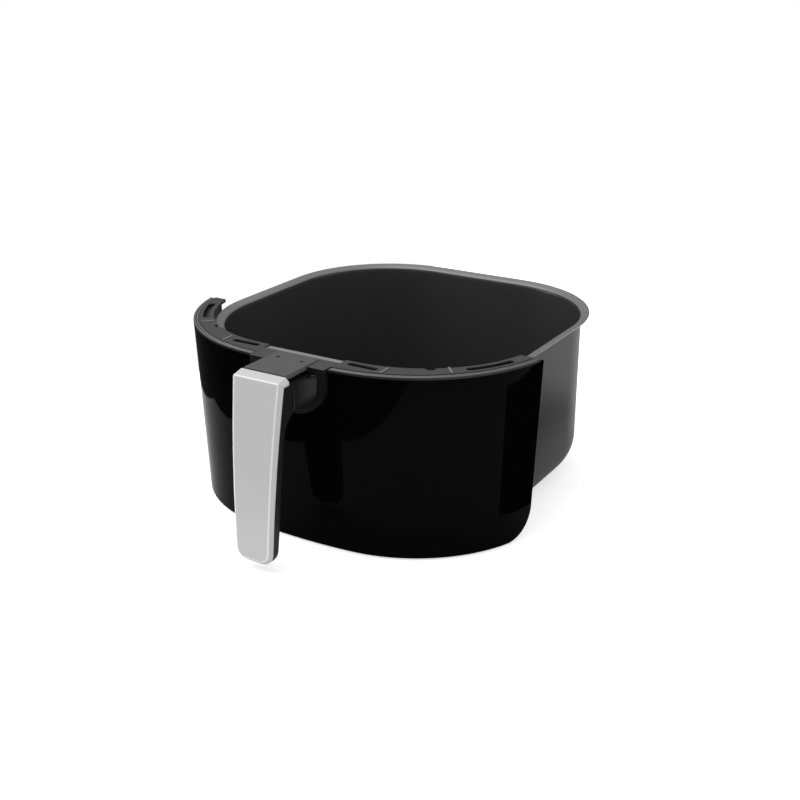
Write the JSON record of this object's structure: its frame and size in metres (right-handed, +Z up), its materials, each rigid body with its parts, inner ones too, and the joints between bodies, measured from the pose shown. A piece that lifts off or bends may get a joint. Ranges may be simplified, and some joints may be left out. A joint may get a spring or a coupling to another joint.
{
  "type": "air fryer drawer",
  "caption": "Air fryer drawer: square coated pan with round corners, curved gloss-black front, fixed handle with a silver face and a loose crisper plate.",
  "frame": {"origin": "middle of the pan's flat base, on the surface that the drawer stands on", "axes": "+Z up, -Y towards the handle, +X to the right seen from behind the handle's front"},
  "size_m": [0.2748, 0.3162, 0.132],
  "materials": {
    "pan_coating": "satin",
    "panel_gloss": "gloss",
    "liner_black": "matte",
    "bezel_grey": "matte",
    "handle_dark": "satin",
    "cover_grey": "satin",
    "handle_silver": "satin silver lacquer",
    "bracket_steel": "satin",
    "shield_steel": "plain sheet",
    "screw_steel": "zinc plated",
    "crisper_coating": "satin",
    "clip_silicone": "matte"
  },
  "bodies": {
    "drawer": {"pan": "pan_coating", "front_panel": "panel_gloss", "panel_frame": "liner_black", "heat_shield": "shield_steel", "top_bezel_right": "bezel_grey", "top_bezel_left": "bezel_grey", "handle_bracket": "bracket_steel", "handle_body": "handle_dark", "handle_face": "handle_silver", "handle_top_cover": "cover_grey", "side_bracket_right": "bracket_steel", "side_bracket_left": "bracket_steel", "handle_screws": "screw_steel", "bracket_nuts": "screw_steel", "panel_screws": "screw_steel", "face_screws": "screw_steel", "bracket_screws": "screw_steel"},
    "crisper": {"crisper_plate": "crisper_coating", "crisper_bumper_front_left": "clip_silicone", "crisper_bumper_front_right": "clip_silicone", "crisper_bumper_back_right": "clip_silicone", "crisper_bumper_back_left": "clip_silicone"}
  },
  "joints": [
    {"name": "crisper_lift", "type": "slide", "parent": "drawer", "child": "crisper", "axis": [0, 0, 1], "range_m": [0, 0.16]}
  ]
}
